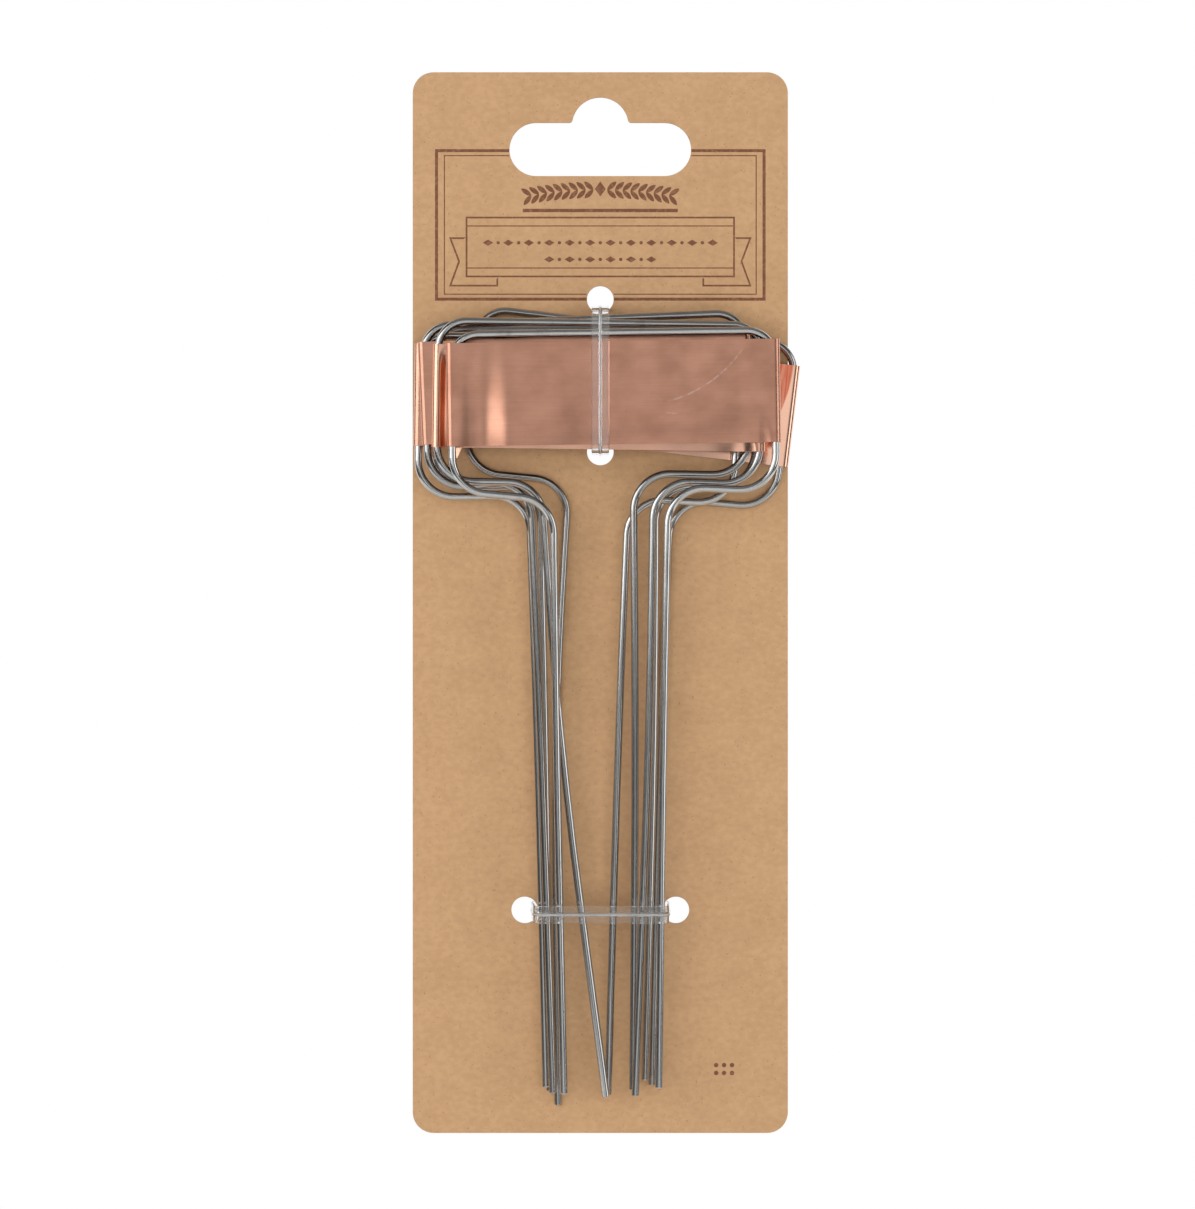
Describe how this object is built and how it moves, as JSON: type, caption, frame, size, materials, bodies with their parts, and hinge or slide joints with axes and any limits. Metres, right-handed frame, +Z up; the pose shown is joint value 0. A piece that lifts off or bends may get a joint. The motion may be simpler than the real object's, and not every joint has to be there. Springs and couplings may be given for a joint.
{
  "type": "carded plant label stakes",
  "caption": "Bent-wire plant markers with sliding copper label plates, tied to a kraft hanging card by clear twist ties and sold as one pack.",
  "frame": {"origin": "hanging point, at the top of the slot's half-round notch, in the middle of the card's thickness", "axes": "+Z up along the card, +X to the right seen from the front, -Y out of the card's front"},
  "size_m": [0.0929, 0.0221, 0.2545],
  "materials": {
    "kraft_card": "uncoated kraft board, matt",
    "steel_wire": "bare drawn wire, semi-gloss",
    "copper_sheet": "rolled copper sheet, satin with fine scratches",
    "clear_plastic": "clear soft plastic, glossy",
    "tie_wire": "thin zinc-coated wire"
  },
  "bodies": {
    "pack": {"backing_card": "kraft_card", "stake_wire_1": "steel_wire", "stake_wire_2": "steel_wire", "stake_wire_3": "steel_wire", "stake_wire_4": "steel_wire", "stake_wire_5": "steel_wire", "stake_wire_6": "steel_wire", "upper_tie": "clear_plastic", "upper_tie_core": "tie_wire", "lower_tie": "clear_plastic", "lower_tie_core": "tie_wire"},
    "label_1": {"label_plate_1": "copper_sheet"},
    "label_2": {"label_plate_2": "copper_sheet"},
    "label_3": {"label_plate_3": "copper_sheet"},
    "label_4": {"label_plate_4": "copper_sheet"},
    "label_5": {"label_plate_5": "copper_sheet"},
    "label_6": {"label_plate_6": "copper_sheet"}
  },
  "joints": [
    {"name": "label_1_slide", "type": "slide", "parent": "pack", "child": "label_1", "axis": [-0.014, 0, 0.9999], "range_m": [-0.0004, 0.0004]},
    {"name": "label_2_slide", "type": "slide", "parent": "pack", "child": "label_2", "axis": [0.014, 0, 0.9999], "range_m": [0, 0.0036]},
    {"name": "label_3_slide", "type": "slide", "parent": "pack", "child": "label_3", "axis": [-0.0419, 0, 0.9991], "range_m": [-0.0029, 0.002]},
    {"name": "label_4_slide", "type": "slide", "parent": "pack", "child": "label_4", "axis": [0.014, 0, 0.9999], "range_m": [-0.0005, 0.0003]},
    {"name": "label_5_slide", "type": "slide", "parent": "pack", "child": "label_5", "axis": [-0.0035, 0, 1], "range_m": [-0.0009, 0.0021]},
    {"name": "label_6_slide", "type": "slide", "parent": "pack", "child": "label_6", "axis": [0.1184, 0, 0.993], "range_m": [-0.0013, 0.003]}
  ]
}
